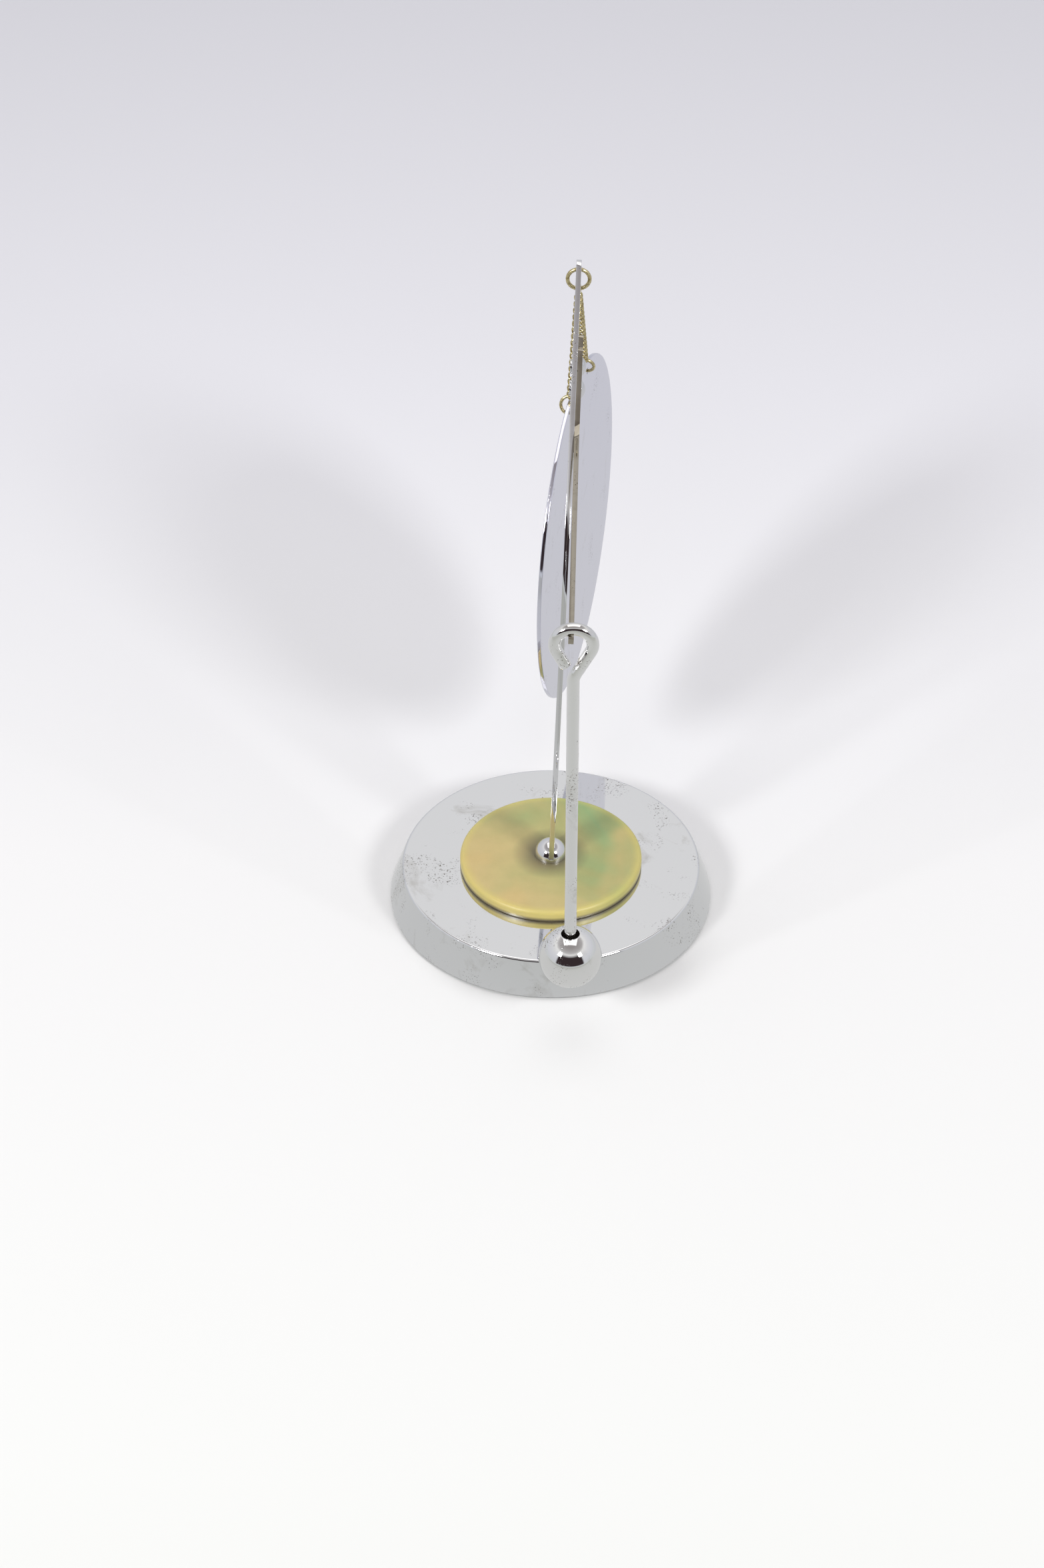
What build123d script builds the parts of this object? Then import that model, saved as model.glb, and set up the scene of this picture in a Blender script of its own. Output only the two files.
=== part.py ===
"""Table gong on a weighted round base, with a hung disc and a hooked beater. Millimetres, +Z up.

Origin: centre of the felt's underside. X lies along the frame plate: the beater hangs at +X
and the gong disc at -X. The plate leans slightly towards +Y, and what hangs from it is plumb.
"""
import os
from math import acos, cos, degrees, hypot, radians, sin, tan

from build123d import *

# ---- driving dimensions -------------------------------------------------------------------
BASE_R = 50.8            # foot of the spun base, a 4 inch circle
BASE_TOP_R = 46.8        # flat top of the base
BASE_TOP_Z = 12.4
SHELL_BOTTOM_Z = 0.8     # the felt stands this far below the metal
SHELL_WALL = 1.2
SHELL_CORNER_R = 0.9
FELT_R, FELT_THICK = 48.9, 1.4
COVER_R, COVER_THICK = 48.2, 1.0
WEIGHT_R, WEIGHT_BOTTOM_Z = 44.8, 3.2
WEIGHT_RECESS_R, WEIGHT_RECESS_TOP_Z = 8.5, 8.2

DISC_R, DISC_THICK = 28.6, 3.7          # cast resin disc under the boss
DISC_EDGE_R = 1.3
BOSS_R = 5.2
BOSS_SPIGOT_R = 3.4
STUD_R, STUD_BOTTOM_Z, STUD_TOP_Z = 2.0, 3.4, 15.6
WASHER_R, WASHER_THICK = 6.0, 0.9
NUT_FLATS, NUT_THICK = 7.0, 3.2
RUN_GAP = 0.05                          # radial clearance of a pin or stud in its hole

PLATE_THICK = 1.6
LEAN_DEG = 2.0                          # lean of the frame plate towards +Y
FOOT_WIDTH, NECK_WIDTH = 10.0, 8.6      # plate width in the boss and above it
FOOT_BOTTOM_Z = 17.6
NECK_LEAN_DEG = 15.0                    # straight stretch between foot and curve
NECK_INNER_R, NECK_OUTER_R = 40.0, 48.0 # bends between foot and straight stretch
FOOT_CORNER_R = 0.4
TIP_R = 2.6                             # rounded end of the plate, round the hanging hole
TIP_ROUND_R = 2.55                      # just under TIP_R, so that a hair of flat is left
TIP_HOLE_R = 1.35

GONG_R, GONG_THICK, GONG_EDGE_R = 55.2, 1.3, 0.35
GONG_X, GONG_Z = -75.0, 89.3            # centre of the hung disc
GONG_TURN_DEG = -11.0                   # how far the disc has turned about the plumb line
GONG_CLEARANCE = 4.8                    # disc's rim to the inner edge of the plate
GONG_HOLE_RING_R, GONG_HOLE_DEG, GONG_HOLE_R = 52.0, 14.0, 1.05
HANG_Z = 183.8                          # hole at the tip of the plate, plumb above the disc

RING_R, RING_WIRE_R = 3.35, 0.6         # hanger ring through the plate
RING_DROP = 0.35                        # wire's centre below the hole's centre
LINK_RING_R, LINK_RING_WIRE_R, LINK_RING_GAP = 1.9, 0.45, 0.2
JUMP_R, JUMP_WIRE_R = 2.75, 0.5
LINK_WIRE_R, LINK_GAP, LINKS_PER_STRAND = 0.31, 0.12, 16
LINK_INNER_WIDTH = 1.16

ARM_THICK, ARM_TIP_HEIGHT, ARM_ROOT_HEIGHT = 1.5, 2.3, 4.2
ARM_TOP_Z = 148.8
NOTCH_DEPTH, NOTCH_HALF_WIDTH, NOTCH_CORNER_R = 1.0, 2.0, 0.7
ARM_OVERHANG = 2.5                      # arm's end beyond the middle of its notch
LEG_WIDTH, LEG_STEP_WIDTH, LEG_LENGTH, LEG_STEP = 5.6, 3.2, 27.5, 4.6
SHOULDER_R, LEG_SIDE_R, SHELF_R = 9.0, 0.8, 0.5     # corners of the arm, in order
LEG_END_R, SHELF_BACK_R, ROOT_R = 1.2, 3.0, 5.0
ARM_END_LOW_R, ARM_END_TOP_R = 0.5, 0.4
RIVET_ALONG = (11.0, 17.8)              # rivets, from the root of the leg
RIVET_R, RIVET_HEAD_R, RIVET_HEAD_HEIGHT = 1.3, 2.9, 1.35
RIVET_TAIL_R, RIVET_TAIL_HEIGHT = 2.2, 0.5
RIVET_OVERLAP = 0.25                    # how far the shank runs into head and tail

BEATER_X, BEATER_SIDE = 62.5, 0.7       # beater's plane, and its offset from the arm
ROD_R = 1.8
EYE_R, EYE_REACH = 5.35, 11.5           # eye's middle circle, and its centre above the bend
EYE_GAP = 0.45                          # eye's inner top above the floor of the notch
EYE_BEND_R = 6.0
TAIL_FROM_BEND = 4.75
BALL_R, BALL_Z = 9.525, 28.6
BALL_MOUTH_R, BALL_MOUTH_DEPTH, BALL_BORE_DEPTH = 2.75, 3.2, 10.0

DISC_TOP_Z = BASE_TOP_Z + DISC_THICK
INNER_R = GONG_R + GONG_CLEARANCE       # plate's inner edge, about the hung disc
OUTER_R = INNER_R + NECK_WIDTH


def plate_y(z):
    """Y of the leaning plate's middle at a height."""
    return (z - BASE_TOP_Z) * tan(radians(LEAN_DEG))


HANG_Y = plate_y(HANG_Z)


def leaned(solid):
    """Turn a solid made upright in the XZ plane into the plate's leaning plane."""
    return solid.rotate(Axis((0, 0, BASE_TOP_Z), (1, 0, 0)), -LEAN_DEG)


def about_gong(radius, angle_deg):
    """Point (x, z) at a radius and angle about the middle of the hung disc."""
    angle = radians(angle_deg)
    return (GONG_X + radius * cos(angle), GONG_Z + radius * sin(angle))


def upright(outline, thickness):
    """Plate of an outline in the XZ plane, spread both ways from Y = 0."""
    return extrude(Plane.XZ * make_face(outline), amount=thickness / 2, both=True)


def turned_rod(radius, low_z, high_z):
    """Upright cylinder on the Z axis between two heights."""
    return Pos(0, 0, (low_z + high_z) / 2) * Cylinder(radius, high_z - low_z)


def cross_rod(radius, x, z, low_y, high_y):
    """Cylinder along Y at (x, z) between two values of y."""
    return Pos(x, (low_y + high_y) / 2, z) * Rot(90, 0, 0) * Cylinder(radius, high_y - low_y)


# ---- base ---------------------------------------------------------------------------------
def base_shell():
    """Spun cone with a flat top, open below, with a hole for the stud."""
    slant = (BASE_R - BASE_TOP_R) / (BASE_TOP_Z - SHELL_BOTTOM_Z)
    wall = SHELL_WALL * hypot(1, slant)
    outer = [(0, BASE_TOP_Z), (BASE_TOP_R, BASE_TOP_Z), (BASE_R, SHELL_BOTTOM_Z)]
    roof_z = BASE_TOP_Z - SHELL_WALL
    roof_r = BASE_TOP_R - wall + slant * SHELL_WALL
    inner = [(BASE_R - wall, SHELL_BOTTOM_Z), (roof_r, roof_z), (0, roof_z)]
    section = make_face(Polyline(*outer, *inner, close=True))
    section = fillet(section.vertices().sort_by_distance(outer[1])[0], SHELL_CORNER_R)
    shell = revolve(Plane.XZ * section, Axis.Z)
    return shell - turned_rod(STUD_R + RUN_GAP, 0, BASE_TOP_Z + 1)


def base_weight():
    """Iron slug inside the shell, with a recess below for washer and nut."""
    slug = turned_rod(WEIGHT_R, WEIGHT_BOTTOM_Z, BASE_TOP_Z - SHELL_WALL)
    recess = turned_rod(WEIGHT_RECESS_R, WEIGHT_BOTTOM_Z - 1, WEIGHT_RECESS_TOP_Z)
    return slug - recess - turned_rod(STUD_R + RUN_GAP, 0, BASE_TOP_Z)


def base_cover():
    """Thin board that closes the shell under the weight."""
    return turned_rod(COVER_R, FELT_THICK, FELT_THICK + COVER_THICK)


def felt_pad():
    """Felt glued to the cover, the face the gong stands on."""
    return turned_rod(FELT_R, 0, FELT_THICK)


def resin_disc():
    """Cast disc with a rounded upper edge, held down by the boss."""
    disc = turned_rod(DISC_R, BASE_TOP_Z, DISC_TOP_Z)
    disc = fillet(disc.edges().group_by(Axis.Z)[-1], DISC_EDGE_R)
    return disc - turned_rod(BOSS_SPIGOT_R + RUN_GAP, BASE_TOP_Z - 1, DISC_TOP_Z + 1)


def boss():
    """Half ball with a spigot through the resin disc, slotted for the plate's foot."""
    on_base = (Align.CENTER, Align.CENTER, Align.MIN)
    dome = Pos(0, 0, DISC_TOP_Z) * Sphere(BOSS_R, arc_size1=0, align=on_base)
    body = dome + turned_rod(BOSS_SPIGOT_R, BASE_TOP_Z, DISC_TOP_Z + 1)
    slot_height = BOSS_R * 2
    slot = Pos(0, 0, FOOT_BOTTOM_Z + slot_height / 2) * Box(BOSS_R * 3, PLATE_THICK, slot_height)
    stud_hole = turned_rod(STUD_R, BASE_TOP_Z - 1, STUD_TOP_Z)
    return body - leaned(slot) - stud_hole


def base_stud():
    """Stud from the boss down through the shell and the weight."""
    return turned_rod(STUD_R, STUD_BOTTOM_Z, STUD_TOP_Z)


def base_washer():
    """Washer against the roof of the recess in the weight."""
    top = WEIGHT_RECESS_TOP_Z
    washer = turned_rod(WASHER_R, top - WASHER_THICK, top)
    return washer - turned_rod(STUD_R + RUN_GAP, top - 2 * WASHER_THICK, top + 1)


def base_nut():
    """Hexagon nut that clamps boss, resin disc, shell and weight together."""
    top = WEIGHT_RECESS_TOP_Z - WASHER_THICK
    flats = RegularPolygon(NUT_FLATS / 2, 6, major_radius=False)
    nut = Pos(0, 0, top - NUT_THICK) * extrude(flats, amount=NUT_THICK)
    return nut - turned_rod(STUD_R, top - NUT_THICK - 1, top + 1)


# ---- frame --------------------------------------------------------------------------------
TIP_ANGLE = 90 - degrees(acos((INNER_R + OUTER_R) / 2 / (HANG_Z - GONG_Z)))
RUN_LEAN = radians(TIP_ANGLE)           # lean of the straight run up to the tip
RUN_DIR = Vector(-sin(RUN_LEAN), cos(RUN_LEAN))
RUN_SIDE = Vector(cos(RUN_LEAN), sin(RUN_LEAN))
TIP = Vector(GONG_X, HANG_Z)


def edge_corners(radius, foot_x, side):
    """Corners of one long edge of the plate: foot, end of the foot, round the disc, tip.

    The leaning stretch and the run to the tip are both tangents of one circle about the hung
    disc, so they meet on the bisector, at radius / cos(half the angle between them).
    """
    touch = about_gong(radius, NECK_LEAN_DEG)
    neck_x = foot_x * NECK_WIDTH / FOOT_WIDTH
    bend_z = touch[1] - (neck_x - touch[0]) / tan(radians(NECK_LEAN_DEG))
    half_sweep = (TIP_ANGLE - NECK_LEAN_DEG) / 2
    crown = about_gong(radius / cos(radians(half_sweep)), NECK_LEAN_DEG + half_sweep)
    tip = TIP + TIP_R * RUN_DIR + side * TIP_R * RUN_SIDE
    return [(foot_x, FOOT_BOTTOM_Z), (neck_x, bend_z), crown, (tip.X, tip.Y)]


def frame_plate():
    """Stamped plate: plumb foot, sweep round the disc, straight run to the tip."""
    inner = edge_corners(INNER_R, -FOOT_WIDTH / 2, -1)
    outer = edge_corners(OUTER_R, FOOT_WIDTH / 2, 1)
    rounding = [FOOT_CORNER_R, NECK_INNER_R, INNER_R, TIP_ROUND_R,
                TIP_ROUND_R, OUTER_R, NECK_OUTER_R, FOOT_CORNER_R]
    outline = FilletPolyline(*inner, *reversed(outer), radius=rounding, close=True)
    plate = upright(outline, PLATE_THICK)
    plate -= cross_rod(TIP_HOLE_R, GONG_X, HANG_Z, -PLATE_THICK, PLATE_THICK)
    for x, z in rivet_places():
        plate -= cross_rod(RIVET_R + RUN_GAP, x, z, -PLATE_THICK, PLATE_THICK)
    return leaned(plate)


def leg_root():
    """Where the middle of the arm's top edge, run back, meets the middle of the run."""
    down = (HANG_Z - ARM_TOP_Z) / RUN_DIR.Y
    return TIP - down * RUN_DIR


def rivet_places():
    """(x, z) of each rivet, along the run from the root of the leg."""
    spots = [leg_root() + along * RUN_DIR for along in RIVET_ALONG]
    return [(spot.X, spot.Y) for spot in spots]


ARM_END_X = BEATER_X + ARM_OVERHANG
ARM_MID_Y = (PLATE_THICK + ARM_THICK) / 2


def beater_arm():
    """Strip beside the plate: a stepped leg riveted to the run, and a level arm with a notch."""
    root = leg_root()
    half = LEG_WIDTH / 2
    step = LEG_STEP_WIDTH / 2
    end = root + LEG_LENGTH * RUN_DIR
    shelf = root + (LEG_LENGTH - LEG_STEP) * RUN_DIR
    shelf_end = shelf + step * RUN_SIDE
    shelf_back = shelf - LEG_STEP * RUN_DIR - half * RUN_SIDE
    corners = [
        Vector(root.X + half / RUN_DIR.Y, ARM_TOP_Z), shelf + half * RUN_SIDE, shelf_end,
        end + step * RUN_SIDE, end - step * RUN_SIDE, shelf_back,
        Vector(root.X, ARM_TOP_Z - ARM_ROOT_HEIGHT),
        Vector(ARM_END_X, ARM_TOP_Z - ARM_TIP_HEIGHT), Vector(ARM_END_X, ARM_TOP_Z),
    ]
    points = [(corner.X, corner.Y) for corner in corners]
    rounding = [SHOULDER_R, LEG_SIDE_R, SHELF_R, LEG_END_R, LEG_END_R, SHELF_BACK_R, ROOT_R,
                ARM_END_LOW_R, ARM_END_TOP_R]
    strip = upright(FilletPolyline(*points, radius=rounding, close=True), ARM_THICK)
    window = RectangleRounded(2 * NOTCH_HALF_WIDTH, 2 * NOTCH_DEPTH, NOTCH_CORNER_R)
    notch = extrude(window, amount=ARM_THICK, both=True)
    strip -= Pos(BEATER_X, 0, ARM_TOP_Z) * Rot(90, 0, 0) * notch
    arm = Pos(0, ARM_MID_Y, 0) * strip
    for x, z in rivet_places():
        arm -= cross_rod(RIVET_R + RUN_GAP, x, z, 0, PLATE_THICK + ARM_THICK)
    return leaned(arm)


def arm_rivet(x, z):
    """Round-headed rivet through arm and plate, its head on the arm's face."""
    face_y = PLATE_THICK / 2 + ARM_THICK
    back_y = -PLATE_THICK / 2
    dome_r = (RIVET_HEAD_R**2 + RIVET_HEAD_HEIGHT**2) / (2 * RIVET_HEAD_HEIGHT)
    ball = Pos(x, face_y + RIVET_HEAD_HEIGHT - dome_r, z) * Sphere(dome_r)
    head = ball & cross_rod(RIVET_HEAD_R + 1, x, z, face_y, face_y + RIVET_HEAD_HEIGHT + 1)
    tail = cross_rod(RIVET_TAIL_R, x, z, back_y - RIVET_TAIL_HEIGHT, back_y)
    shank = cross_rod(RIVET_R, x, z, back_y - RIVET_OVERLAP, face_y + RIVET_OVERLAP)
    return leaned(head + shank + tail)


# ---- what hangs from the tip --------------------------------------------------------------
def turned(solid):
    """Turn a solid about the plumb line through the tip by the disc's angle."""
    return solid.rotate(Axis((GONG_X, HANG_Y, 0), (0, 0, 1)), GONG_TURN_DEG)


RING_MID_Z = HANG_Z - RING_DROP - RING_R
LINK_RING_Z = RING_MID_Z - RING_R + RING_WIRE_R + LINK_RING_GAP + LINK_RING_WIRE_R - LINK_RING_R


def hanger_ring():
    """Brass ring through the hole at the tip, across the plate."""
    return Pos(GONG_X, HANG_Y, RING_MID_Z) * Rot(0, 90, 0) * Torus(RING_R, RING_WIRE_R)


def link_ring():
    """Small ring on the hanger ring that gathers the two strands."""
    return turned(Pos(GONG_X, HANG_Y, LINK_RING_Z) * Rot(90, 0, 0) * Torus(LINK_RING_R, LINK_RING_WIRE_R))


def gong_hole(side):
    """Hole near the rim: side is +1 for the one nearer the frame, -1 for the far one."""
    x, z = about_gong(GONG_HOLE_RING_R, 90 - side * GONG_HOLE_DEG)
    return Vector(x, HANG_Y, z)


def gong_disc():
    """Flat disc with eased edges and two hanging holes."""
    disc = Cylinder(GONG_R, GONG_THICK)
    disc = fillet(disc.edges(), GONG_EDGE_R)
    disc = Pos(GONG_X, HANG_Y, GONG_Z) * Rot(90, 0, 0) * disc
    for side in (1, -1):
        hole = gong_hole(side)
        disc -= cross_rod(GONG_HOLE_R, hole.X, hole.Z, HANG_Y - GONG_THICK, HANG_Y + GONG_THICK)
    return turned(disc)


def strand_direction(side):
    """Unit vector from a hole of the disc to the middle of the link ring."""
    return (Vector(GONG_X, HANG_Y, LINK_RING_Z) - gong_hole(side)).normalized()


def jump_ring(side):
    """Ring through a hole of the disc, in the plane of the strand and across the disc."""
    along = strand_direction(side)
    middle = gong_hole(side) + JUMP_R * along
    across_both = along.cross(Vector(0, 1, 0))
    return turned(Plane(middle, x_dir=along, z_dir=across_both) * Torus(JUMP_R, JUMP_WIRE_R))


def strand_reach(side):
    """Distance from a hole of the disc to the wire of the link ring."""
    return (Vector(GONG_X, HANG_Y, LINK_RING_Z) - gong_hole(side)).length - LINK_RING_R


JUMP_TOP = 2 * JUMP_R - JUMP_WIRE_R     # inner top of a jump ring, from the hole
LINK_PITCH = (strand_reach(1) + LINK_RING_WIRE_R - JUMP_TOP + LINK_GAP) / LINKS_PER_STRAND
LINK_INNER_LENGTH = LINK_PITCH + LINK_GAP


def chain_link(side, number):
    """Oval link number 0, 1, ... of a strand; each is a quarter turn from the one before."""
    bend_r = LINK_INNER_WIDTH / 2 + LINK_WIRE_R
    straight = LINK_INNER_LENGTH - LINK_INNER_WIDTH
    link = Pos(straight / 2, 0, 0) * Torus(bend_r, LINK_WIRE_R)
    link = split(link, Plane(origin=(straight / 2, 0, 0), z_dir=(1, 0, 0)), keep=Keep.TOP)
    link += link.rotate(Axis.Z, 180)
    for y in (bend_r, -bend_r):
        link += Pos(0, y, 0) * Rot(0, 90, 0) * Cylinder(LINK_WIRE_R, straight)
    along = strand_direction(side)
    across = Vector(0, 1, 0) if number % 2 == 0 else along.cross(Vector(0, 1, 0))
    start = JUMP_TOP - LINK_GAP + LINK_INNER_LENGTH / 2
    middle = gong_hole(side) + (start + number * LINK_PITCH) * along
    return turned(Plane(middle, x_dir=along, z_dir=across) * link)


# ---- beater -------------------------------------------------------------------------------
ARM_Y = plate_y(ARM_TOP_Z) + ARM_MID_Y
BEATER_Y = ARM_Y + BEATER_SIDE
EYE_Z = ARM_TOP_Z - NOTCH_DEPTH + EYE_GAP - (EYE_R - ROD_R)
BEND_Z = EYE_Z - EYE_REACH


def beater_rod():
    """Rod bent up into an open eye: a bend, a run to the eye's circle, over it, and a tail."""
    half_angle = acos(EYE_R / EYE_REACH)            # at the circle's middle, bend to touch
    touch_y, touch_z = EYE_R * sin(half_angle), EYE_Z - EYE_R * cos(half_angle)
    tail_share = TAIL_FROM_BEND / hypot(touch_y, touch_z - BEND_Z)
    tail = (-touch_y * tail_share, BEND_Z + (touch_z - BEND_Z) * tail_share)
    bottom_z = BALL_Z + BALL_R - BALL_BORE_DEPTH
    stem = FilletPolyline((0, bottom_z), (0, BEND_Z), (touch_y, touch_z), radius=EYE_BEND_R)
    eye = ThreePointArc((touch_y, touch_z), (0, EYE_Z + EYE_R), (-touch_y, touch_z))
    route = Plane(origin=(BEATER_X, BEATER_Y, 0), x_dir=(0, 1, 0), z_dir=(1, 0, 0)) * (
        stem + eye + Line((-touch_y, touch_z), tail))
    section = Plane(origin=route @ 0, z_dir=route % 0) * Circle(ROD_R)
    return sweep(section, path=route)


def beater_ball():
    """Ball with a wide mouth over the bore that holds the rod."""
    top = BALL_Z + BALL_R
    ball = Pos(0, 0, BALL_Z) * Sphere(BALL_R)
    ball -= turned_rod(BALL_MOUTH_R, top - BALL_MOUTH_DEPTH, top + 1)
    ball -= turned_rod(ROD_R, top - BALL_BORE_DEPTH, top)
    return Pos(BEATER_X, BEATER_Y, 0) * ball


# ---- all pieces ---------------------------------------------------------------------------
def pieces():
    """Every node's name and solid."""
    made = {
        "base_shell": base_shell(), "base_weight": base_weight(), "base_cover": base_cover(),
        "felt_pad": felt_pad(), "resin_disc": resin_disc(), "boss": boss(),
        "base_stud": base_stud(), "base_washer": base_washer(), "base_nut": base_nut(),
        "frame_plate": frame_plate(), "beater_arm": beater_arm(),
        "hanger_ring": hanger_ring(), "link_ring": link_ring(), "gong_disc": gong_disc(),
        "beater_rod": beater_rod(), "beater_ball": beater_ball(),
    }
    for name, spot in zip(("arm_rivet_lower", "arm_rivet_upper"), rivet_places()):
        made[name] = arm_rivet(*spot)
    for name, side in (("near", 1), ("far", -1)):
        made[f"jump_ring_{name}"] = jump_ring(side)
        for number in range(LINKS_PER_STRAND):
            made[f"chain_link_{name}_{number + 1:02d}"] = chain_link(side, number)
    return made


def main():
    """Write one STEP file for each node and print the places the joints use."""
    os.makedirs("parts", exist_ok=True)
    made = pieces()
    for name, solid in made.items():
        export_step(solid, f"parts/{name}.step")
    print(len(made), "nodes; link pitch", round(LINK_PITCH, 3))
    print("tip joint", GONG_X, round(HANG_Y, 3), HANG_Z - RING_DROP)
    print("holes of the disc at z", round(gong_hole(1).Z, 3))
    print("beater joint", BEATER_X, round(ARM_Y, 3), ARM_TOP_Z - NOTCH_DEPTH, "rod y", round(BEATER_Y, 3))


if __name__ == "__main__":
    main()
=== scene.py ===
# %% [markdown]
# A chrome table gong: a spun base with a cast-resin disc, a thin plate on edge that carries a
# hung disc on two brass chains, and an arm with a ball-ended beater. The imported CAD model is
# the frame: its pieces stay where they are, and this file gives them their finish. Where a
# round mirror needs a finer surface than the frame has, a turned or bent surface worked out
# with numpy takes the node's place.

import bmesh
import bpy
import numpy as np
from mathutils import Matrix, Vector


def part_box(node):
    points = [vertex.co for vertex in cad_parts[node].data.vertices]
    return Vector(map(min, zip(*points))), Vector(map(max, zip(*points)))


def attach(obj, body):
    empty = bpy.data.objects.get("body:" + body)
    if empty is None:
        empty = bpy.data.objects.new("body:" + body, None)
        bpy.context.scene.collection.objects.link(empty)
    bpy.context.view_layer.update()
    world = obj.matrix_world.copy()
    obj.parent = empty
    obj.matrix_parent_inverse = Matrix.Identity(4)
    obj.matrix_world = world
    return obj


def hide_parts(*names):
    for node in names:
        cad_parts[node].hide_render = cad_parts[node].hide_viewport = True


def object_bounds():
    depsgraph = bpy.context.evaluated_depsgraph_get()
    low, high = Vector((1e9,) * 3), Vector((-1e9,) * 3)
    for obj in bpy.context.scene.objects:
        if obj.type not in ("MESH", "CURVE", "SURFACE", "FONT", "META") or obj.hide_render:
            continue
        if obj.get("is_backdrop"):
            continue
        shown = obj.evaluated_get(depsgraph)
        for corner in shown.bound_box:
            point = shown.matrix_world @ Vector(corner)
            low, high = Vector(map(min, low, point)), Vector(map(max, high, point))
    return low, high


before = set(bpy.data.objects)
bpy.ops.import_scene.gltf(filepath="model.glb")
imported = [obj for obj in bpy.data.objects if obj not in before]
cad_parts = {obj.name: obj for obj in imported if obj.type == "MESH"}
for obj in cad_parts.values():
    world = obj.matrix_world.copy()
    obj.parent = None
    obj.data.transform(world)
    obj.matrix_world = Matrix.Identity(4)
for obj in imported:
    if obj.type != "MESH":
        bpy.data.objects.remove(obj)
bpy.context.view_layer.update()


def box_lists():
    """Lowest and highest corner of everything, as plain lists of numbers."""
    return [[float(value) for value in corner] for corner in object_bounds()]


MM = 0.001
scene = bpy.context.scene
scene.view_settings.view_transform = "Standard"


def middle(node):
    """Centre of a CAD node's box, in metres."""
    low, high = (np.array(corner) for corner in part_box(node))
    return (low + high) / 2


# %% [markdown]
# The camera comes first. It stands almost in line with the plate, so that plate, arm and disc
# are all seen on edge, and it looks down by about 39 degrees. A long lens keeps the base's
# ellipse and the tip of the plate in one calm view.

# %% Camera
CAMERA_AZIMUTH, CAMERA_PITCH = np.radians(1.57), np.radians(38.91)
CAMERA_DISTANCE = 1.0941
CAMERA_LENS = 81.0
base_middle = middle("base_shell")
aim = Vector((base_middle[0] + 0.00025, base_middle[1] - 0.00909, 0.04416))
away = Vector((np.cos(CAMERA_PITCH) * np.cos(CAMERA_AZIMUTH),
               np.cos(CAMERA_PITCH) * np.sin(CAMERA_AZIMUTH), np.sin(CAMERA_PITCH)))
camera_data = bpy.data.cameras.new("camera")
camera_data.lens = CAMERA_LENS
camera_data.sensor_width = 36.0
camera = bpy.data.objects.new("camera", camera_data)
scene.collection.objects.link(camera)
camera.location = aim + CAMERA_DISTANCE * away
camera.rotation_euler = away.to_track_quat("Z", "Y").to_euler()
scene.camera = camera
print("camera at", tuple(round(value, 4) for value in camera.location))


# %% [markdown]
# Colours are written as sRGB hex, as a paint chart gives them, and one function turns them to
# the linear numbers that the shaders want. One function adds a node, sets its sockets and
# links it, so that a material reads as a short list of steps.

# %% Colour and node helpers
def linear(hex_colour):
    """sRGB hex to linear RGBA: below 0.04045 divide by 12.92, else ((c + 0.055) / 1.055) ** 2.4."""
    srgb = np.array([int(hex_colour[i:i + 2], 16) for i in (1, 3, 5)]) / 255
    low, high = srgb / 12.92, ((srgb + 0.055) / 1.055) ** 2.4
    return (*np.where(srgb <= 0.04045, low, high), 1.0)


def add_node(tree, kind, settings=None, **inputs):
    """Add a node; a value that is a socket is linked, any other is set. Underscores are spaces."""
    node = tree.nodes.new(kind)
    for name, value in (settings or {}).items():
        setattr(node, name, value)
    for name, value in inputs.items():
        key = int(name[1:]) if name[0] == "i" and name[1:].isdigit() else name.replace("_", " ")
        if isinstance(value, bpy.types.NodeSocket):
            tree.links.new(value, node.inputs[key])
        else:
            node.inputs[key].default_value = value
    return node


def new_material(name, **sockets):
    """A material with one Principled shader, its constant sockets set by name."""
    material = bpy.data.materials.new(name)
    material.use_nodes = True
    tree = material.node_tree
    shader = tree.nodes["Principled BSDF"]
    for socket, value in sockets.items():
        shader.inputs[socket.replace("_", " ")].default_value = value
    place = add_node(tree, "ShaderNodeTexCoord").outputs["Object"]
    return material, tree, shader, place


def ramp(tree, factor, *stops):
    """Colour ramp with (position, hex colour) stops."""
    node = add_node(tree, "ShaderNodeValToRGB", Fac=factor)
    elements = node.color_ramp.elements
    while len(elements) < len(stops):
        elements.new(0.5)
    for element, (position, colour) in zip(elements, stops):
        element.position = position
        element.color = linear(colour)
    return node.outputs["Color"]


def span(tree, value, low, high, out_low, out_high):
    """Map a range of a value to another range, clamped."""
    return add_node(tree, "ShaderNodeMapRange", None, Value=value, From_Min=low, From_Max=high,
                    To_Min=out_low, To_Max=out_high).outputs["Result"]


def blend_colours(tree, factor, first, second):
    """Mix two colours; each is a socket or a linear colour."""
    node = add_node(tree, "ShaderNodeMix", {"data_type": "RGBA"}, i0=factor, i6=first, i7=second)
    return node.outputs[2]


def noise(tree, place, feature_mm, detail=3.0, roughness=0.5, distortion=0.0):
    """Noise whose blotches are about feature_mm across."""
    return add_node(tree, "ShaderNodeTexNoise", None, Vector=place, Scale=1 / (feature_mm * MM),
                    Detail=detail, Roughness=roughness, Distortion=distortion).outputs["Fac"]


# %% [markdown]
# Chrome plate is a very smooth, slightly blue mirror over polished metal. What makes it look
# real is what time does to it: a thin uneven haze, soft brown-grey clouds a few centimetres
# wide, and tiny pits where the plate has let go. The haze goes to roughness, the clouds and
# pits go to colour, and a faint bump keeps the reflections from being perfect.

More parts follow.
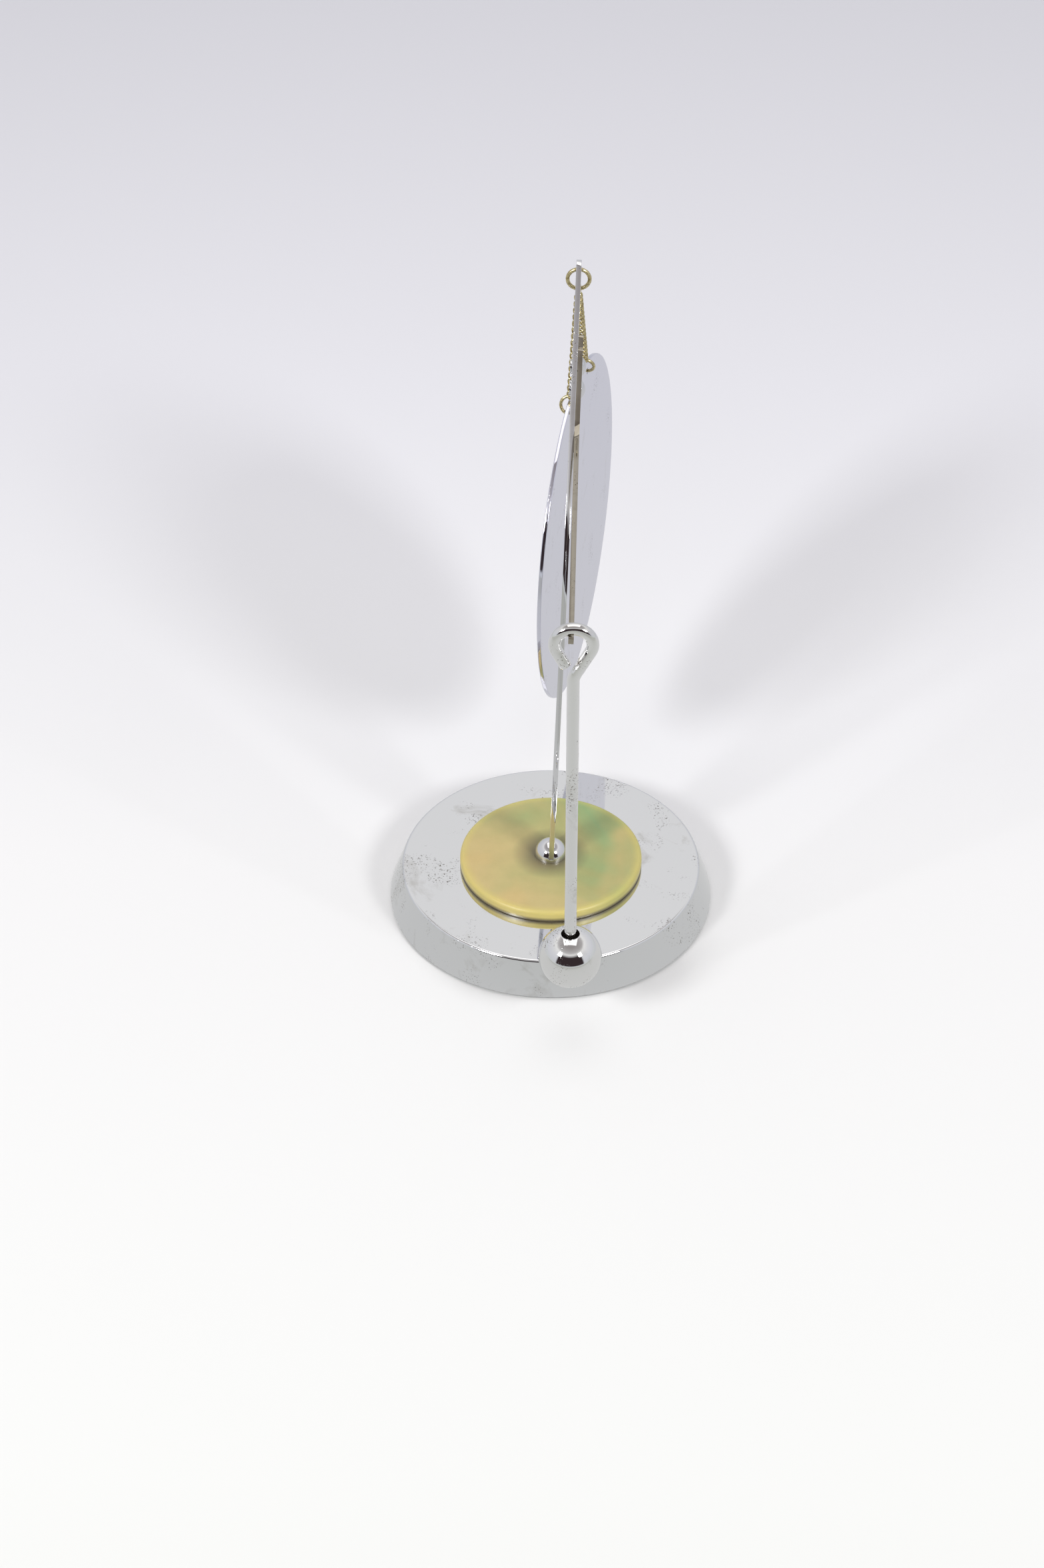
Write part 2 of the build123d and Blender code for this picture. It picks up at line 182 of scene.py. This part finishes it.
# %% Chrome
def aged_chrome(name, tint, cloud_share, pit_share, pit_mm=0.55, haze=0.03, film="#8F8878"):
    """Polished plate: cloud_share and pit_share say how much of it has aged, film is the cloud's colour."""
    material, tree, shader, place = new_material(name, Metallic=1.0)
    clouds = noise(tree, place, 16, 5, 0.62, 0.6)
    cloud = span(tree, clouds, 0.68 - cloud_share, 0.86 - cloud_share, 0.0, 0.42)
    plated = blend_colours(tree, cloud, linear(tint), linear(film))
    patches = noise(tree, place, 13, 2, 0.5, 0.3)
    specks = noise(tree, place, pit_mm, 2, 0.55)
    patch = span(tree, patches, 0.56 - pit_share, 0.68 - pit_share, 0.0, 1.0)
    speck = span(tree, specks, 0.60, 0.69, 0.0, 1.0)
    pits = add_node(tree, "ShaderNodeMath", {"operation": "MULTIPLY"}, i0=patch, i1=speck).outputs[0]
    tree.links.new(blend_colours(tree, pits, plated, linear("#5A4E3C")), shader.inputs["Base Color"])
    smear = noise(tree, place, 7, 4, 0.6)
    blur = span(tree, smear, 0.35, 0.75, haze * 0.6, haze * 2.6)
    rough = add_node(tree, "ShaderNodeMath", {"operation": "MULTIPLY_ADD"}, i0=pits, i1=0.35, i2=blur)
    tree.links.new(rough.outputs[0], shader.inputs["Roughness"])
    ripple = noise(tree, place, 11, 1, 0.4)
    bump = add_node(tree, "ShaderNodeBump", None, Strength=0.05, Distance=0.0002, Height=ripple)
    pit_bump = add_node(tree, "ShaderNodeBump", {"invert": True}, Strength=0.4, Distance=0.00005,
                        Height=pits, Normal=bump.outputs[0])
    tree.links.new(pit_bump.outputs[0], shader.inputs["Normal"])
    return material


base_chrome = aged_chrome("chrome_plate_base", "#E1E2E3", 0.09, 0.03)
gong_chrome = aged_chrome("chrome_plate_gong", "#DCDCE8", 0.06, 0.0, haze=0.04)
strip_chrome = aged_chrome("chrome_plate_strip", "#DEDEE0", 0.08, 0.04, 0.5)
# Painted shade: the arm's chrome gets a darker, browner tint and film and more cloud than the plate's,
# standing for the dark room that its edges reflect.
arm_chrome_painted_dark = aged_chrome("chrome_plate_arm_painted_dark", "#A9A294", 0.16, 0.04, 0.5, film="#6E6552")
beater_chrome = aged_chrome("chrome_plate_beater", "#EAEAE9", 0.10, 0.08, 0.5)
chromes = (base_chrome, gong_chrome, strip_chrome, arm_chrome_painted_dark, beater_chrome)
print("chrome finishes", [chrome.name for chrome in chromes])


# %% [markdown]
# The disc on the base is cast phenolic resin. It is poured in several colours that swirl into
# each other before they set, and it yellows with age. Two large soft noises steer between
# olive, ochre and green, a finer one clouds them, and painted shade darkens it round the boss
# and along its foot. Light goes a little way in, so there is some subsurface scattering under the polish.

# %% Marbled resin
def marbled_resin():
    """Cast resin: green share = lean across the disc + slow noise; painted shade round the boss and rim by
    distance, painted shade at the foot by height.
    """
    material, tree, shader, place = new_material(
        "cast_phenolic_resin", IOR=1.6, Subsurface_Weight=0.1, Subsurface_Scale=0.002,
        Coat_Weight=0.08, Coat_Roughness=0.3)
    shader.inputs["Subsurface Radius"].default_value = (1.0, 0.8, 0.3)
    lean = add_node(tree, "ShaderNodeVectorMath", {"operation": "DOT_PRODUCT"}, i0=place,
                    i1=(-5.0, 9.0, 0.0)).outputs["Value"]
    flow = noise(tree, place, 42, 3, 0.5, 0.7)
    pour = add_node(tree, "ShaderNodeMath", None, i0=lean, i1=flow).outputs[0]
    body = ramp(tree, pour, (0.22, "#BCA870"), (0.42, "#AFA56B"), (0.54, "#9B9D64"), (0.66, "#86A06A"),
                (0.82, "#A3A468"))
    warm = span(tree, noise(tree, place, 26, 2, 0.5, 0.5), 0.52, 0.7, 0.0, 0.55)
    body = blend_colours(tree, warm, body, linear("#C6A76A"))
    cloud = span(tree, noise(tree, place, 5, 5, 0.6), 0.3, 0.75, 0.0, 0.14)
    body = blend_colours(tree, cloud, body, linear("#77733F"))
    flat = add_node(tree, "ShaderNodeMapping", None, Vector=place, Scale=(1000.0, 1000.0, 0.0))
    reach = add_node(tree, "ShaderNodeVectorMath", {"operation": "LENGTH"}, i0=flat.outputs[0])
    # Painted shade: the resin is darkened round the foot of the boss, fully near 5 mm from the middle and
    # fading out by 12.5 mm.
    boss_shade = span(tree, reach.outputs["Value"], 5.0, 12.5, 0.85, 0.0)
    body = blend_colours(tree, boss_shade, body, linear("#4B4230"))
    rim = span(tree, reach.outputs["Value"], 25.5, 28.4, 0.0, 0.5)
    body = blend_colours(tree, rim, body, linear("#C9BE62"))
    # Painted shade: the lowest 1.6 mm of the disc's side is darkened where it meets the base.
    height = add_node(tree, "ShaderNodeSeparateXYZ", None, Vector=place).outputs["Z"]
    foot_shade = span(tree, height, float(disc_foot) + 0.5 * MM, float(disc_foot) + 1.6 * MM, 0.9, 0.0)
    body = blend_colours(tree, foot_shade, body, linear("#4A4030"))
    tree.links.new(body, shader.inputs["Base Color"])
    wear = span(tree, noise(tree, place, 5, 4), 0.3, 0.8, 0.34, 0.5)
    tree.links.new(wear, shader.inputs["Roughness"])
    dents = add_node(tree, "ShaderNodeBump", None, Strength=0.12, Distance=0.0002,
                     Height=noise(tree, place, 2.5, 3))
    tree.links.new(dents.outputs[0], shader.inputs["Normal"])
    return material


disc_low, disc_high = (np.array(corner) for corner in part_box("resin_disc"))
disc_r, disc_top, disc_foot = (disc_high[0] - disc_low[0]) / 2, disc_high[2], disc_low[2]
resin = marbled_resin()


# %% [markdown]
# The chain and rings are plain brass, once gilt. Brass that is handled stays bright on the
# outside of each link and goes brown where the links touch, so a fine noise mixes a fresh
# gold with a brown one.

# %% Brass, iron, felt and the rest
def aged_brass():
    """Brass: bright gold mixed with brown by a fine noise."""
    material, tree, shader, place = new_material("aged_brass", Metallic=1.0, Roughness=0.24)
    age = span(tree, noise(tree, place, 0.8, 3), 0.35, 0.7, 0.0, 0.8)
    gold_to_brown = blend_colours(tree, age, linear("#DCD0A4"), linear("#857246"))
    tree.links.new(gold_to_brown, shader.inputs["Base Color"])
    tree.links.new(span(tree, age, 0.0, 0.8, 0.18, 0.42), shader.inputs["Roughness"])
    return material


def grainy(name, light, dark, grain_mm, bump_mm, **sockets):
    """A matt surface whose colour and height follow one fine noise."""
    material, tree, shader, place = new_material(name, **sockets)
    grain = noise(tree, place, grain_mm, 4, 0.6)
    tree.links.new(ramp(tree, grain, (0.3, dark), (0.7, light)), shader.inputs["Base Color"])
    bump = add_node(tree, "ShaderNodeBump", None, Strength=0.5, Distance=bump_mm * MM, Height=grain)
    tree.links.new(bump.outputs[0], shader.inputs["Normal"])
    return material


brass = aged_brass()
iron = grainy("grey_cast_iron", "#5A5A5C", "#39393B", 1.2, 0.15, Metallic=1.0, Roughness=0.6)
zinc = grainy("zinc_plated_steel", "#B5B7B8", "#8F9192", 0.8, 0.03, Metallic=1.0, Roughness=0.35)
board = grainy("pressed_fibre_board", "#8A7355", "#5F4D38", 0.7, 0.08, Roughness=0.85)
felt = grainy("green_wool_felt", "#3F5A45", "#22362A", 0.5, 0.25, Roughness=0.95, Sheen_Weight=0.5)


def finish_node(name, material):
    """Give a CAD node one material in place of what it had."""
    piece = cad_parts[name]
    piece.data.materials.clear()
    piece.data.materials.append(material)


for name in ("hanger_ring", "link_ring", "jump_ring_near", "jump_ring_far"):
    finish_node(name, brass)
for name, material in (("base_weight", iron), ("base_stud", zinc), ("base_washer", zinc),
                       ("base_nut", zinc), ("base_cover", board), ("felt_pad", felt)):
    finish_node(name, material)
print("finishes given to", len([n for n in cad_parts.values() if n.data.materials]), "nodes")


# %% [markdown]
# Surfaces of revolution: a profile of points (radius, height) is turned about an upright axis.
# A mirror shows every flat facet, so these have many steps round, and short extra steps at
# each corner keep the rounding small and crisp.

# %% Turned pieces
def unit(vectors):
    """Vectors divided by their lengths."""
    return vectors / np.linalg.norm(vectors, axis=-1, keepdims=True)


def grid_mesh(name, points, material, close_rows=False):
    """Mesh from points (rows, columns, 3), welded; columns always close on themselves."""
    rows, columns = points.shape[:2]
    row_count = rows if close_rows else rows - 1
    row, column = np.meshgrid(np.arange(row_count), np.arange(columns), indexing="ij")
    next_row, next_column = (row + 1) % rows, (column + 1) % columns
    faces = np.stack([row * columns + column, row * columns + next_column,
                      next_row * columns + next_column, next_row * columns + column], axis=-1)
    mesh = bpy.data.meshes.new(name)
    mesh.from_pydata(points.reshape(-1, 3), [], faces.reshape(-1, 4))
    shape = bmesh.new()
    shape.from_mesh(mesh)
    bmesh.ops.remove_doubles(shape, verts=shape.verts, dist=0.001 * MM)
    bmesh.ops.recalc_face_normals(shape, faces=shape.faces)
    shape.to_mesh(mesh)
    shape.free()
    mesh.polygons.foreach_set("use_smooth", np.ones(len(mesh.polygons), bool))
    mesh.materials.append(material)
    piece = bpy.data.objects.new(name, mesh)
    scene.collection.objects.link(piece)
    return piece


HOLD = 0.03 * MM                                 # a point this far beside each arc keeps flats flat


def rounded_profile(corners, radii, steps=7):
    """Profile through corners, each cut back to a circle's arc of its radius.

    An arc of radius r in a corner that turns by t starts r * tan(t / 2) before the corner, and
    its points are the tangent point moved on by r * sin(a) along and r * (1 - cos(a)) across.
    """
    corners = np.array(corners, float)
    points = [corners[:1], corners[:1] + HOLD * unit(corners[1:2] - corners[:1])]
    for before, corner, after, radius in zip(corners, corners[1:], corners[2:], radii):
        came = (corner - before) / np.linalg.norm(corner - before)
        goes = (after - corner) / np.linalg.norm(after - corner)
        turn = np.arctan2(came[0] * goes[1] - came[1] * goes[0], came @ goes)
        side = np.sign(turn) * np.array([-came[1], came[0]])
        start = corner - came * radius * np.tan(abs(turn) / 2)
        angle = np.linspace(0, abs(turn), steps)[:, None]
        arc = start + radius * (np.sin(angle) * came + (1 - np.cos(angle)) * side)
        points.append(np.concatenate([arc[:1] - HOLD * came, arc, arc[-1:] + HOLD * goes]))
    points += [corners[-1:] - HOLD * unit(corners[-1:] - corners[-2:-1]), corners[-1:]]
    return np.concatenate(points)


def turned(name, profile, axis_xy, material, steps=256):
    """Turn a profile (radius, z) about the upright axis: x = r cos(a), y = r sin(a).

    A profile that runs out along the top and down the side leaves its faces pointing outwards.
    """
    angle = np.linspace(0, 2 * np.pi, steps, endpoint=False)
    radius, height = profile[:, :1], profile[:, 1:]
    points = np.stack([axis_xy[0] + radius * np.cos(angle), axis_xy[1] + radius * np.sin(angle),
                       height + 0 * angle], axis=-1)
    return grid_mesh(name, points[::-1], material)


base_low, base_high = (np.array(corner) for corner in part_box("base_shell"))
base_r, base_top, base_foot = (base_high[0] - base_low[0]) / 2, base_high[2], base_low[2]
base_top_r = base_r - 4.0 * MM
lip, stud_r = 1.25 * MM, 2.05 * MM
base_profile = rounded_profile(
    [(stud_r, base_top), (base_top_r, base_top), (base_r, base_foot), (base_r - lip, base_foot),
     (base_top_r - 0.9 * MM, base_top - 1.2 * MM), (stud_r, base_top - 1.2 * MM), (stud_r, base_top)],
    [0.9 * MM, 0.25 * MM, 0.25 * MM, 0.4 * MM, 0.05 * MM])
base_piece = turned("spun_base", base_profile, base_middle, base_chrome)
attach(base_piece, "stand")
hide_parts("base_shell")

spigot_r = 3.45 * MM
disc_profile = rounded_profile(
    [(spigot_r, disc_top), (disc_r, disc_top), (disc_r, disc_foot), (spigot_r, disc_foot),
     (spigot_r, disc_top)], [1.3 * MM, 0.35 * MM, 0.05 * MM], 10)
disc_piece = turned("marbled_disc", disc_profile, base_middle, resin)
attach(disc_piece, "stand")
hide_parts("resin_disc")

ball_low, ball_high = (np.array(corner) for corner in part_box("beater_ball"))
ball_centre, ball_r = middle("beater_ball"), (ball_high[0] - ball_low[0]) / 2
ball_z = ball_low[2] + ball_r
MOUTH_R, MOUTH_DEPTH = 2.75 * MM, 3.2 * MM
mouth_angle = np.arcsin((MOUTH_R + 0.15 * MM) / ball_r)
sweep = np.linspace(mouth_angle, np.pi, 90)
sphere = np.stack([ball_r * np.sin(sweep), ball_z + ball_r * np.cos(sweep)], axis=-1)
mouth_top = sphere[0][1] - 0.12 * MM
mouth = np.array([(MOUTH_R, ball_high[2] - MOUTH_DEPTH), (MOUTH_R, mouth_top)])
ball_profile = np.concatenate([[(0.0, ball_high[2] - MOUTH_DEPTH)], mouth, sphere])
ball_piece = turned("beater_ball_turned", ball_profile, ball_centre, beater_chrome, 160)
# Painted shade: the faces inside the ball's mouth get a near-black metal, which stands for the shadow down
# the bore.
mouth_shade = grainy("mouth_painted_shade", "#3C3833", "#231F1B", 0.6, 0.03, Metallic=1.0, Roughness=0.5)
ball_piece.data.materials.append(mouth_shade)
centres = np.empty(len(ball_piece.data.polygons) * 3)
ball_piece.data.polygons.foreach_get("center", centres)
centres = centres.reshape(-1, 3)
in_mouth = (np.hypot(*(centres - ball_centre)[:, :2].T) < MOUTH_R * 1.001) & (centres[:, 2] > ball_z)
ball_piece.data.polygons.foreach_set("material_index", in_mouth.astype(np.int32))
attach(ball_piece, "beater")
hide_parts("beater_ball")
print("turned pieces:", base_piece.name, disc_piece.name, ball_piece.name)


# %% [markdown]
# Plate, arm, boss, rivets and the hung disc keep the shape the frame gives them. Their faces are
# loose triangles there, so each is copied, welded, made smooth, and its sharp edges are broken
# by a narrow bevel, which is what catches the light along a stamped edge.

# %% Pieces with broken edges
def broken_edges(node, material, bevel_mm, body="stand"):
    """Welded copy of a node with a bevel of bevel_mm on every edge that turns by over 40 degrees."""
    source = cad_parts[node]
    shape = bmesh.new()
    shape.from_mesh(source.data)
    shape.transform(source.matrix_world)
    bmesh.ops.remove_doubles(shape, verts=shape.verts, dist=WELD)
    bmesh.ops.dissolve_limit(shape, angle_limit=np.radians(0.5), verts=shape.verts, edges=shape.edges)
    bmesh.ops.recalc_face_normals(shape, faces=shape.faces)
    mesh = bpy.data.meshes.new(f"{node}_edged")
    shape.to_mesh(mesh)
    shape.free()
    corner_count = np.empty(len(mesh.polygons), np.int32)
    mesh.polygons.foreach_get("loop_total", corner_count)
    mesh.polygons.foreach_set("use_smooth", corner_count <= 4)     # the broad flats stay flat
    mesh.materials.append(material)
    piece = bpy.data.objects.new(f"{node}_edged", mesh)
    scene.collection.objects.link(piece)
    bevel = piece.modifiers.new("broken edge", "BEVEL")
    bevel.width, bevel.segments, bevel.limit_method = bevel_mm * MM, 3, "ANGLE"
    bevel.angle_limit, bevel.harden_normals = np.radians(40), True
    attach(piece, body)
    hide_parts(node)
    return piece


WELD = 0.002 * MM
for node, material, bevel_mm, body in (
        ("boss", strip_chrome, 0.15, "stand"), ("frame_plate", strip_chrome, 0.25, "stand"),
        ("beater_arm", arm_chrome_painted_dark, 0.25, "stand"), ("arm_rivet_lower", strip_chrome, 0.08, "stand"),
        ("arm_rivet_upper", strip_chrome, 0.08, "stand"), ("gong_disc", gong_chrome, 0.05, "gong")):
    print("edged", broken_edges(node, material, bevel_mm, body).name)


# %% [markdown]
# A curb chain has oval links with a quarter twist, so that they all lie the same way and nest
# into each other. Each link is a tube carried along a closed curve: an oval whose points turn
# about the long axis in step with how far along the link they are.

# %% Curb chain
def closed_tube(path, radius, around=10):
    """Points of a tube on a closed path (n, 3): each ring lies in the plane of two normals.

    The first normal points away from the path's middle, less its share along the tangent; the
    other is the cross product of tangent and first normal.
    """
    tangent = unit(np.roll(path, -1, 0) - np.roll(path, 1, 0))
    side = path - path.mean(0)
    side = unit(side - (side * tangent).sum(1, keepdims=True) * tangent)
    other = np.cross(tangent, side)
    angle = np.linspace(0, 2 * np.pi, around, endpoint=False)[None, :, None]
    return path[:, None] + radius * (np.cos(angle) * side[:, None] + np.sin(angle) * other[:, None])


def curb_path(half_length, half_width, steps=32):
    """Closed path of one link on its long axis X, twisted from 0 to 90 degrees along it.

    The oval is a circle pulled to a rounded slot by an exponent; the point at share s of the
    length, from -1 to 1, is turned about X by 45 degrees times s.
    """
    angle = np.linspace(0, 2 * np.pi, steps, endpoint=False)
    x = half_length * np.sign(np.cos(angle)) * np.abs(np.cos(angle)) ** 0.85
    y = half_width * np.sign(np.sin(angle)) * np.abs(np.sin(angle)) ** 0.85
    twist = np.pi / 4 * x / half_length
    return np.stack([x, y * np.cos(twist), y * np.sin(twist)], axis=-1)


LINK_COUNT, LINK_WIRE_R = 16, 0.31 * MM
swing_angle = np.radians(-11.0)
disc_normal = np.array([-np.sin(swing_angle), np.cos(swing_angle), 0.0])


def strand(side_name):
    """All links of one strand as one mesh, each riding at the place of its CAD link."""
    first = middle(f"chain_link_{side_name}_01")
    last = middle(f"chain_link_{side_name}_{LINK_COUNT:02d}")
    along = unit(last - first)
    across = np.cross(along, disc_normal)
    flat_y = disc_normal
    flat_z = np.cross(along, flat_y)
    pitch = np.linalg.norm(last - first) / (LINK_COUNT - 1)
    half_length = (pitch + 0.12 * MM) / 2 + LINK_WIRE_R
    link = closed_tube(curb_path(half_length, 0.93 * MM), LINK_WIRE_R)
    places = first + np.arange(LINK_COUNT)[:, None] * pitch * along
    turned_link = link @ np.stack([along, flat_y, flat_z])
    points = turned_link[None] + places[:, None, None]
    pieces = [grid_mesh(f"{side_name}_link", one, brass, close_rows=True) for one in points]
    bpy.context.view_layer.objects.active = pieces[0]
    with bpy.context.temp_override(active_object=pieces[0], selected_editable_objects=pieces):
        bpy.ops.object.join()
    piece = pieces[0]
    piece.name = f"curb_chain_{side_name}"
    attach(piece, "chain")
    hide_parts(*[f"chain_link_{side_name}_{n + 1:02d}" for n in range(LINK_COUNT)])
    return piece


for side_name in ("near", "far"):
    print(strand(side_name).name, "with", LINK_COUNT, "links")


# %% [markdown]
# The beater's rod is one length of plated wire: straight up, a bend to one side, over a round
# eye and back down to a cut end beside the rod. A tube is carried along that path in its own
# upright plane, so the frame's sideways normal is one fixed direction and never twists.

# %% Beater rod
def rod_path():
    """Path in (y, z): stem, bend of radius 6 mm, run, arc of the eye over the top, tail."""
    low, high = (np.array(corner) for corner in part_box("beater_rod"))
    wire_r = (high[0] - low[0]) / 2
    eye_r = (high[1] - low[1]) / 2 - wire_r
    eye_z, reach = high[2] - wire_r - eye_r, 11.5 * MM
    half = np.arccos(eye_r / reach)
    touch = np.array([eye_r * np.sin(half), eye_z - eye_r * np.cos(half)])
    bend = np.array([0.0, eye_z - reach])
    lower = rounded_profile([(0.0, low[2]), bend, touch], [6 * MM], 14)
    stem = np.stack([np.zeros(30), np.linspace(low[2], lower[1][1], 30)], axis=-1)[:-1]
    angle = np.linspace(half - np.pi / 2, 1.5 * np.pi - half, 60)
    eye = np.stack([eye_r * np.cos(angle), eye_z + eye_r * np.sin(angle)], axis=-1)
    mirror = np.array([-touch[0], touch[1]])
    tail = bend + (mirror - bend) * 4.75 * MM / np.linalg.norm(mirror - bend)
    tail_line = mirror + (tail - mirror) * np.linspace(0, 1, 5)[1:, None]
    path = np.concatenate([stem, lower[1:-1], eye, tail_line])
    return path, wire_r, middle("beater_rod")


def bent_rod():
    """Tube along the path: ring = centre + r (cos(a) sideways + sin(a) X); both ends are closed."""
    path, wire_r, centre = rod_path()
    tangent = unit(np.gradient(path, axis=0))
    shrink = np.array([0.0, 0.93])               # the two end rings: a centre point and a narrower one
    step = 0.12 * MM
    first, last = path[:1] - tangent[:1] * step, path[-1:] + tangent[-1:] * step
    path = np.concatenate([first, first, path, last, last])
    tangent = np.concatenate([tangent[[0, 0]], tangent, tangent[[-1, -1]]])
    radius = wire_r * np.concatenate([shrink, np.ones(len(path) - 4), shrink[::-1]])[:, None]
    sideways = np.stack([-tangent[:, 1], tangent[:, 0]], axis=-1)
    angle = np.linspace(0, 2 * np.pi, 48, endpoint=False)
    across = radius * np.cos(angle)
    points = np.stack([centre[0] + radius * np.sin(angle),
                       centre[1] + path[:, :1] + sideways[:, :1] * across,
                       path[:, 1:] + sideways[:, 1:] * across], axis=-1)
    return grid_mesh("beater_rod_bent", points, beater_chrome)


rod_piece = bent_rod()
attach(rod_piece, "beater")
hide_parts("beater_rod")
print("rod", rod_piece.name, len(rod_piece.data.vertices), "points")


# %% [markdown]
# The stage is one pale floor that reads as an endless sheet. Chrome has no colour of its own:
# it shows the room. So the room is kept as simple as a small light tent, with pale walls, two
# soft lamps in front to the left and right, and a dark gap in front of the base, where a
# camera would stand. The dark gap is what draws the thin dark lines on the rounded edges.

# %% Floor, world and lamps
def stage_plane(name, corners, material):
    """A flat four-sided sheet that is part of the stage."""
    mesh = bpy.data.meshes.new(name)
    mesh.from_pydata(corners, [], [(0, 1, 2, 3)])
    mesh.materials.append(material)
    sheet = bpy.data.objects.new(name, mesh)
    scene.collection.objects.link(sheet)
    sheet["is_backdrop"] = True
    return sheet


MIRROR_SHARE = 0.92                              # brightness of the floor in a mirror


def floor_material():
    """White sheet, greyer towards the front and cooler behind; in mirrors it is a painted glow of its tint
    that the lamps do not give.
    """
    material, tree, shader, place = new_material("paper_floor", Roughness=0.9)
    depth = add_node(tree, "ShaderNodeSeparateXYZ", None, Vector=place).outputs["X"]
    share = span(tree, depth, -1.2, 0.6, 0.0, 1.0)
    tint = ramp(tree, share, (0.0, "#CFD0D8"), (0.5, "#DCDCE1"), (0.66, "#DFDFDF"), (0.8, "#D6D7D5"),
                (0.93, "#C6C7C2"))
    tree.links.new(tint, shader.inputs["Base Color"])
    # Painted reflection: glossy rays see the floor as a glow of its tint, MIRROR_SHARE strong.
    mirrored = add_node(tree, "ShaderNodeLightPath").outputs["Is Glossy Ray"]
    glow = add_node(tree, "ShaderNodeEmission", None, Color=tint, Strength=MIRROR_SHARE)
    mixed = add_node(tree, "ShaderNodeMixShader", None, Fac=mirrored, i1=shader.outputs[0],
                     i2=glow.outputs[0])
    tree.links.new(mixed.outputs[0], tree.nodes["Material Output"].inputs["Surface"])
    return material


FLOOR = 6.0                                      # metres from the middle to each side
stage_plane("floor", [(-FLOOR, -FLOOR, 0), (FLOOR, -FLOOR, 0), (FLOOR, FLOOR, 0), (-FLOOR, FLOOR, 0)],
            floor_material())


GAP_SLOPE = 0.75                                 # how fast the dark gap narrows sideways


def room():
    """World: walls by height, a dark gap in front, from the direction of the ray alone.

    The gap's share is front * low * high: front rises with X - GAP_SLOPE |Y|, and low and high
    let it start just over the floor and end below the ceiling.
    """
    world = bpy.data.worlds.new("room")
    scene.world = world
    world.use_nodes = True
    tree = world.node_tree
    way = add_node(tree, "ShaderNodeTexCoord").outputs["Generated"]
    parts = add_node(tree, "ShaderNodeSeparateXYZ", None, Vector=way)
    height = span(tree, parts.outputs["Z"], -0.1, 1.0, 0.0, 1.0)
    walls = ramp(tree, height, (0.0, "#D3D7D5"), (0.3, "#DCDDE4"), (0.55, "#E6E6EA"), (0.72, "#F6F5F5"),
                 (0.8, "#C2BFC0"), (0.95, "#A09A9A"))
    across = add_node(tree, "ShaderNodeMath", {"operation": "ABSOLUTE"}, i0=parts.outputs["Y"]).outputs[0]
    ahead = add_node(tree, "ShaderNodeMath", {"operation": "MULTIPLY_ADD"}, i0=across, i1=-GAP_SLOPE,
                     i2=parts.outputs["X"]).outputs[0]
    front = span(tree, ahead, 0.0, 0.12, 0.0, 1.0)
    low = span(tree, parts.outputs["Z"], 0.03, 0.07, 0.0, 1.0)
    high = span(tree, parts.outputs["Z"], 0.56, 0.7, 1.0, 0.0)
    gap = add_node(tree, "ShaderNodeMath", {"operation": "MULTIPLY"}, i0=front, i1=low).outputs[0]
    gap = add_node(tree, "ShaderNodeMath", {"operation": "MULTIPLY"}, i0=gap, i1=high).outputs[0]
    colour = blend_colours(tree, gap, walls, linear("#3A3032"))
    background = tree.nodes["Background"]
    tree.links.new(colour, background.inputs["Color"])
    background.inputs["Strength"].default_value = 0.97


def lamp(name, place, aim_at, size, power, colour="#FFFFFF"):
    """Square soft lamp that faces a point."""
    data = bpy.data.lights.new(name, "AREA")
    data.size = size
    data.energy = power
    data.color = linear(colour)[:3]
    light = bpy.data.objects.new(name, data)
    scene.collection.objects.link(light)
    light.location = place
    light.rotation_euler = (Vector(place) - Vector(aim_at)).to_track_quat("Z", "Y").to_euler()
    return light


room()
CENTRE = (0.0, 0.0, 0.08)
lamp("lamp_left", (0.8, -0.8, 0.85), CENTRE, 0.3, 10.0)
lamp("lamp_right", (0.8, 0.8, 0.85), CENTRE, 0.3, 9.0)
lamp("lamp_top", (-0.3, 0.0, 1.5), CENTRE, 1.2, 5.0)

# %% [markdown]
# Last, the box round everything shown is printed, so that the looks can be compared with the CAD size.

# %% Sizes and finish
print("visual box", box_lists())
